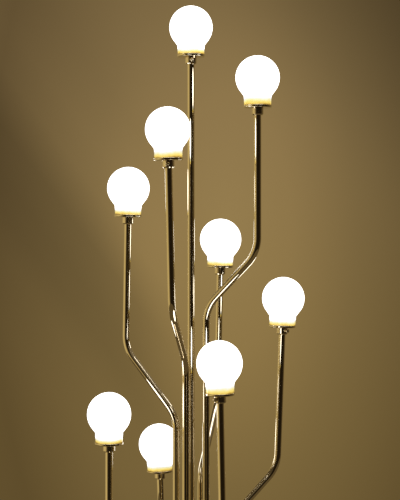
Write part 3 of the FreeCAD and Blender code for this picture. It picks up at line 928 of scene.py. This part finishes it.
@dataclass(frozen=True)
class HeadLevels:
    """Heights of the edges that every head shares, along its axis from the globe's centre."""

    rim: float
    under: float
    collar_end: float
    tube_end: float

    @classmethod
    def of_upright_lamp(cls) -> "HeadLevels":
        """Levels read from the nodes of lamp 1, whose axis is upright.

        Returns:
            The levels.
        """
        centre = PLANS[0].globe.z
        gallery, collar, tube = (
            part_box(node) for node in ("gallery_1", "lamp_collar_1", "arm_tube_1")
        )
        return cls(
            rim=gallery[1].z - centre,
            under=gallery[0].z - centre,
            collar_end=collar[0].z - centre,
            tube_end=tube[1].z - centre,
        )


@dataclass
class LampHead:
    """Globe, gallery, collar and switch of one lamp."""

    plan: LampPlan
    levels: HeadLevels

    def dress_nodes(self) -> None:
        """Give the head's nodes their finishes."""
        number, centre, axis = self.plan.number, self.plan.globe, self.plan.axis
        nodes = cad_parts
        opal = OpalFinish(rim_level=self.levels.rim, fade=self.plan.amber)
        dress(nodes[f"glass_shade_{number}"], opal.material(f"lit_opal_{number}", centre, axis))
        spun = SPUN_BRASS.material(f"spun_brass_{number}", centre, axis, [self.levels.under])
        dress(nodes[f"gallery_{number}"], spun)
        seams = [self.levels.under, self.levels.collar_end]
        turned = TURNED_BRASS.material(f"turned_brass_{number}", centre, axis, seams)
        dress(nodes[f"lamp_collar_{number}"], turned)
        dress(nodes[f"switch_knob_{number}"], turned)
        LOG.info("lamp head %d dressed", number)


@dataclass
class Insides:
    """Pieces in the heads, the tubes and the base, and under it, with their finishes."""

    finishes: Tuple[Tuple[str, PlainFinish], ...] = (
        ("lamp_sockets", HOLDER),
        ("light_bulbs", BULB),
        ("threaded_nipples", STEEL),
        ("shade_gaskets", SILICONE),
        ("inner_leads", SLEEVE),
        ("terminal_board", BOARD),
        ("bottom_plate", STEEL),
        ("plate_screws", STEEL),
        ("hub_bolts", STEEL),
        ("tube_set_screws", STEEL),
        ("ballast_disc", IRON),
        ("floor_pad", FELT),
        ("cord_gland", NYLON),
    )

    def dress_nodes(self) -> None:
        """Give each of these nodes its finish, one material for each finish."""
        made: Dict[str, Material] = {}
        for node, finish in self.finishes:
            if finish.name not in made:
                made[finish.name] = finish.material()
            dress(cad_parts[node], made[finish.name])
            LOG.info("%s dressed in %s", node, finish.name)


@dataclass
class Base:
    """Spun cover and turned hub."""

    cover_top: float = 26.2 * MM

    def dress_nodes(self) -> None:
        """Give the cover and the hub their brass."""
        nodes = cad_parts
        dress(nodes["base_cover"], COVER_BRASS.material("spun_cover"))
        dress(nodes["trunk_hub"], TURNED_BRASS.material("turned_hub", joints=[self.cover_top]))
        LOG.info("base dressed")


# ------------------------------------------------------------------ studio
@dataclass
class Studio:
    """Floor, wall, mirrored room, soft light and the camera.

    Places on the wall and in the room are parts of the unit direction of view: x to the right,
    z upward. The room's ring goes by degrees from the front, rising to the right.
    """

    backdrop: Colour = (0.19, 0.132, 0.052)
    # Painted pool of light on the wall: lightest behind the lamp, darkest in a ring round it, then
    # the backdrop's tone.
    wall: Stops = (
        (0.0, (0.30, 0.205, 0.076)),
        (0.05, (0.27, 0.182, 0.067)),
        (0.10, (0.195, 0.132, 0.049)),
        (0.18, (0.108, 0.071, 0.026)),
        (0.45, (0.19, 0.132, 0.052)),
    )
    wall_reach: float = 0.5
    wall_aside: float = 0.02
    wall_flatness: float = 0.5
    tint_span: Tuple[float, float] = (-0.2, 0.17)
    low_tint: Colour = (1.0, 0.99, 0.90)
    high_tint: Colour = (1.0, 1.0, 1.09)
    shadow_way: Tuple[float, float, float] = (0.8, 0.0, 0.6)
    shadow_span: Tuple[float, float] = (-0.20, 0.05)
    shadow_end: Tuple[float, float] = (-0.06, 0.0)
    shadow_gain: float = 1.17
    shadow: Tuple[Tuple[float, float], ...] = (
        (-0.164, 0.90),
        (-0.133, 0.83),
        (-0.114, 0.72),
        (-0.098, 0.69),
        (-0.075, 0.72),
        (-0.063, 0.84),
        (-0.048, 0.98),
        (-0.025, 1.0),
        (0.006, 0.93),
    )
    # Painted shade: the wall darker towards its upper-right corner.
    shade_corner_span: Tuple[float, float] = (0.14, 0.36)
    shade_corner_grey: float = 0.58
    floor: Colour = (0.74, 0.70, 0.62)
    floor_roughness: float = 0.75
    floor_radius: float = 2.75
    floor_fade: Tuple[float, float] = (0.45, 0.98)
    mirrored_floor: Colour = (0.10, 0.07, 0.03)
    ambient: Colour = (0.80, 0.78, 0.75)
    room: Stops = (
        (-180.0, (0.27, 0.19, 0.075)),
        (-135.0, (0.40, 0.30, 0.13)),
        (-80.0, (0.62, 0.48, 0.20)),
        (-60.0, (0.46, 0.34, 0.14)),
        (-40.0, (0.10, 0.07, 0.03)),
        (-25.0, (0.012, 0.008, 0.004)),
        (68.0, (0.014, 0.009, 0.004)),
        (112.0, (0.11, 0.075, 0.03)),
        (150.0, (0.24, 0.17, 0.068)),
        (180.0, (0.27, 0.19, 0.075)),
    )
    ceiling_left: Colour = (0.055, 0.040, 0.018)
    ceiling_right: Colour = (0.20, 0.16, 0.10)
    ceiling_sides: Tuple[float, float] = (-0.6, 0.5)
    ceiling_rise: Tuple[float, float] = (0.2, 0.5)
    ground: Colour = (0.02, 0.015, 0.008)
    ground_rise: Tuple[float, float] = (-0.75, -0.2)
    ground_least: float = 0.45
    fill_at: Tuple[float, float, float] = (0.3, -0.8, 3.2)
    fill_aim: Tuple[float, float, float] = (0.0, 0.0, 1.0)
    fill_size: float = 1.6
    fill_power: float = 22.0
    fill_tint: Colour = (1.0, 0.97, 0.92)
    focal_pixels: float = 1300.0
    long_side_pixels: float = 500.0
    sensor: float = 36.0
    camera_at: Tuple[float, float, float] = (0.0199, -2.86, 1.267)
    horizon_row: float = 225.5
    clip: Tuple[float, float] = (0.05, 50.0)

    def build_floor(self) -> None:
        """Round pale floor that fades into the backdrop's tone; metal mirrors a dim floor there."""
        bpy.ops.mesh.primitive_circle_add(
            vertices=128, radius=self.floor_radius, fill_type="NGON"
        )
        floor = bpy.context.object
        floor.name = "studio_floor"
        material, graph, shader = new_material("studio_floor")
        shader.inputs["Base Color"].default_value = (*self.floor, 1.0)
        shader.inputs["Roughness"].default_value = self.floor_roughness
        point = graph.add("ShaderNodeTexCoord").outputs["Object"]
        radius = graph.vector("LENGTH", point).outputs["Value"]
        start, end = (self.floor_radius * share for share in self.floor_fade)
        fade = graph.remap(radius, start, end, 0.0, 1.0)
        mirrored = graph.add("ShaderNodeLightPath").outputs["Is Glossy Ray"]
        output = material.node_tree.nodes["Material Output"]
        surface = shader.outputs[0]
        for factor, tone in ((fade, self.backdrop), (mirrored, self.mirrored_floor)):
            plain = graph.add("ShaderNodeEmission")
            plain.inputs["Color"].default_value = (*tone, 1.0)
            mix = graph.add("ShaderNodeMixShader")
            for target, value in zip(mix.inputs, (factor, surface, plain.outputs[0])):
                graph.feed(target, value)
            surface = mix.outputs[0]
        graph.feed(output.inputs["Surface"], surface)
        dress(floor, material)

    def build_world(self) -> None:
        """Wall for the camera, a warm room with a dark front for the metal, and a soft fill."""
        world = bpy.data.worlds.new("studio")
        bpy.context.scene.world = world
        world.use_nodes = True
        world.node_tree.nodes.clear()
        graph = Graph(world.node_tree)
        way = graph.add("ShaderNodeTexCoord").outputs["Generated"]
        split = graph.add("ShaderNodeSeparateXYZ")
        graph.feed(split.inputs[0], way)
        x, y, z = split.outputs
        turn = graph.math("ARCTAN2", x, graph.math("MULTIPLY", y, -1.0))
        turn = graph.math("MULTIPLY_ADD", turn, 1.0 / (2.0 * math.pi), 0.5)
        ring = graph.ramp(turn, [(0.5 + degrees / 360.0, tone) for degrees, tone in self.room])
        side = graph.remap(x, *self.ceiling_sides, 0.0, 1.0)
        ceiling = graph.mix(side, self.ceiling_left, self.ceiling_right)
        room = graph.mix(graph.remap(z, *self.ceiling_rise, 0.0, 1.0), ring, ceiling)
        above = graph.remap(z, *self.ground_rise, self.ground_least, 1.0)
        room = graph.mix(above, self.ground, room)
        light = graph.add("ShaderNodeLightPath").outputs
        seen = graph.math("MAXIMUM", light["Is Glossy Ray"], light["Is Transmission Ray"])
        colour = graph.mix(seen, self.ambient, room)
        colour = graph.mix(light["Is Camera Ray"], colour, self.wall_tone(graph, way, x, z))
        background = graph.add("ShaderNodeBackground")
        graph.feed(background.inputs["Color"], colour)
        output = graph.add("ShaderNodeOutputWorld")
        graph.feed(output.inputs["Surface"], background.outputs[0])

    def wall_tone(self, graph: Graph, way: Socket, x: Socket, z: Socket) -> Socket:
        """Wall as the camera sees it: a painted pool of light behind the lamp, a painted soft
        slanting shadow and painted shade in the upper-right corner.

        Args:
            graph: The world's graph.
            way: Direction of view.
            x: Its part to the right.
            z: Its part upward.

        Returns:
            The wall's colour.
        """

        def shaded(colour: Socket, shade: object) -> Socket:
            """Colour times another."""
            return graph.mix(1.0, colour, shade, "MULTIPLY")

        offset = graph.vector("SUBTRACT", way, (self.wall_aside, 0.0, 0.0)).outputs["Vector"]
        stretch = (1.0, 0.0, self.wall_flatness)
        flat = graph.vector("MULTIPLY", offset, stretch).outputs["Vector"]
        away = graph.vector("LENGTH", flat).outputs["Value"]
        # Painted pool of light, from the distance to the lamp's middle.
        wall = graph.ramp(
            graph.math("DIVIDE", away, self.wall_reach),
            [(place / self.wall_reach, colour) for place, colour in self.wall],
        )
        high = graph.remap(z, *self.tint_span, 0.0, 1.0)
        wall = shaded(wall, graph.mix(high, self.low_tint, self.high_tint))
        across = graph.vector("DOT_PRODUCT", way, self.shadow_way).outputs["Value"]
        start, end = self.shadow_span
        place = graph.math("DIVIDE", graph.math("SUBTRACT", across, start), end - start)
        stops = [((at - start) / (end - start), (grey,) * 3) for at, grey in self.shadow]
        shadow = shaded(graph.ramp(place, stops), (self.shadow_gain,) * 3)
        wall = graph.mix(graph.remap(x, *self.shadow_end, 1.0, 0.0), wall, shaded(wall, shadow))
        # Painted shade towards the upper-right corner.
        corner = graph.remap(graph.math("ADD", x, z), *self.shade_corner_span, 0.0, 1.0)
        return graph.mix(corner, wall, shaded(wall, (self.shade_corner_grey,) * 3))

    def build_light(self) -> None:
        """Weak overhead softbox: most of the light is the globes' own and the world's."""
        lamp = bpy.data.lights.new("fill_top", "AREA")
        lamp.size = self.fill_size
        lamp.energy = self.fill_power
        lamp.color = self.fill_tint
        holder = bpy.data.objects.new("fill_top", lamp)
        holder.location = self.fill_at
        aim = Vector(self.fill_aim) - Vector(self.fill_at)
        holder.rotation_euler = aim.to_track_quat("-Z", "Y").to_euler()
        bpy.context.scene.collection.objects.link(holder)

    def build_camera(self) -> None:
        """Camera at the photograph's place: level, at the height of its horizon."""
        camera = bpy.data.cameras.new("camera")
        camera.sensor_width = self.sensor
        camera.lens = self.sensor * self.focal_pixels / self.long_side_pixels
        middle = self.long_side_pixels / 2.0
        camera.shift_y = (self.horizon_row - middle) / self.long_side_pixels
        camera.clip_start, camera.clip_end = self.clip
        holder = bpy.data.objects.new("camera", camera)
        holder.location = self.camera_at
        holder.rotation_euler = (math.radians(90.0), 0.0, 0.0)
        bpy.context.scene.collection.objects.link(holder)
        bpy.context.scene.camera = holder

    def build(self) -> None:
        """Build the whole studio."""
        bpy.context.scene.view_settings.view_transform = "Standard"
        self.build_floor()
        self.build_world()
        self.build_light()
        self.build_camera()
        LOG.info("studio built")


def main() -> None:
    """Build the lamp's pieces and the studio."""
    logging.basicConfig(level=logging.INFO, format="%(name)s %(message)s")
    levels = HeadLevels.of_upright_lamp()
    tube_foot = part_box("arm_tube_1")[0].z
    for plan in PLANS:
        ArmTube(plan, tube_foot, levels.tube_end).build()
        LampHead(plan, levels).dress_nodes()
    Insides().dress_nodes()
    Base().dress_nodes()
    Studio().build()


if __name__ == "__main__":
    main()
